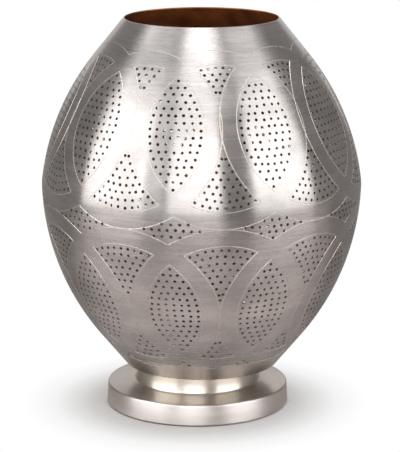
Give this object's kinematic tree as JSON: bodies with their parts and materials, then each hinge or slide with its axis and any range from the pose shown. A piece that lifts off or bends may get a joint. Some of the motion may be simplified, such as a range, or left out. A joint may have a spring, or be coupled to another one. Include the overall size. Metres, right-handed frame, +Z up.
{
  "type": "table lamp",
  "caption": "Egg-shaped table lamp of brushed silver-coloured metal with an open top, pierced and engraved with interlaced circles, on a round foot, with a screw-in bulb inside.",
  "frame": {"origin": "on the floor under the middle of the body, at the underside of the felt", "axes": "+Z up through the mouth, -Y towards the front, +X to the viewer's right"},
  "size_m": [0.2436, 0.2436, 0.3],
  "materials": {
    "silver_plate": "brushed silver plate over spun brass, satin outside, dark oxidised brown inside",
    "polished_plate": "silver plate over spun brass, nearly polished",
    "zinc_steel": "zinc plated",
    "felt": "pressed felt",
    "grommet_rubber": "matt",
    "black_phenolic": "moulded, satin",
    "porcelain": "glazed",
    "contact_brass": "plain",
    "nickel": "nickel plated",
    "bulb_glass": "clear, blown",
    "phosphor": "yellow phosphor coat"
  },
  "bodies": {
    "root": {"upper_shell": "silver_plate", "lower_shell": "silver_plate", "foot_shell": "polished_plate", "base_plate": "zinc_steel", "felt_pad": "felt", "cord_grommet": "grommet_rubber", "threaded_tube": "zinc_steel", "lock_washer": "zinc_steel", "floor_washer": "zinc_steel", "lower_nut": "zinc_steel", "upper_nut": "zinc_steel", "holder_cap": "black_phenolic", "holder_shell": "black_phenolic", "holder_insert": "porcelain", "thread_sleeve": "contact_brass", "centre_contact": "contact_brass", "terminal_screw_1": "contact_brass", "terminal_screw_2": "contact_brass"},
    "bulb_carrier": {"bulb_contact": "nickel"},
    "bulb": {"bulb_insulator": "black_phenolic", "bulb_cap": "nickel", "bulb_glass": "bulb_glass", "glass_stem": "bulb_glass", "lower_lead": "nickel", "upper_lead": "nickel", "filament_1": "phosphor", "filament_2": "phosphor", "filament_3": "phosphor", "filament_4": "phosphor"}
  },
  "joints": [
    {"name": "bulb_lift", "type": "slide", "parent": "root", "child": "bulb_carrier", "axis": [0, 0, 1], "range_m": [0, 0.0146]},
    {"name": "bulb_turn", "type": "hinge", "parent": "bulb_carrier", "child": "bulb", "pos_m": [-0.0032, 0, 0.067], "axis": [0, 0, 1], "range_deg": [0, 1440]}
  ],
  "couplings": [
    {"joint": "bulb_lift", "follows": "bulb_turn", "m_per_rad": 0.00057751}
  ]
}
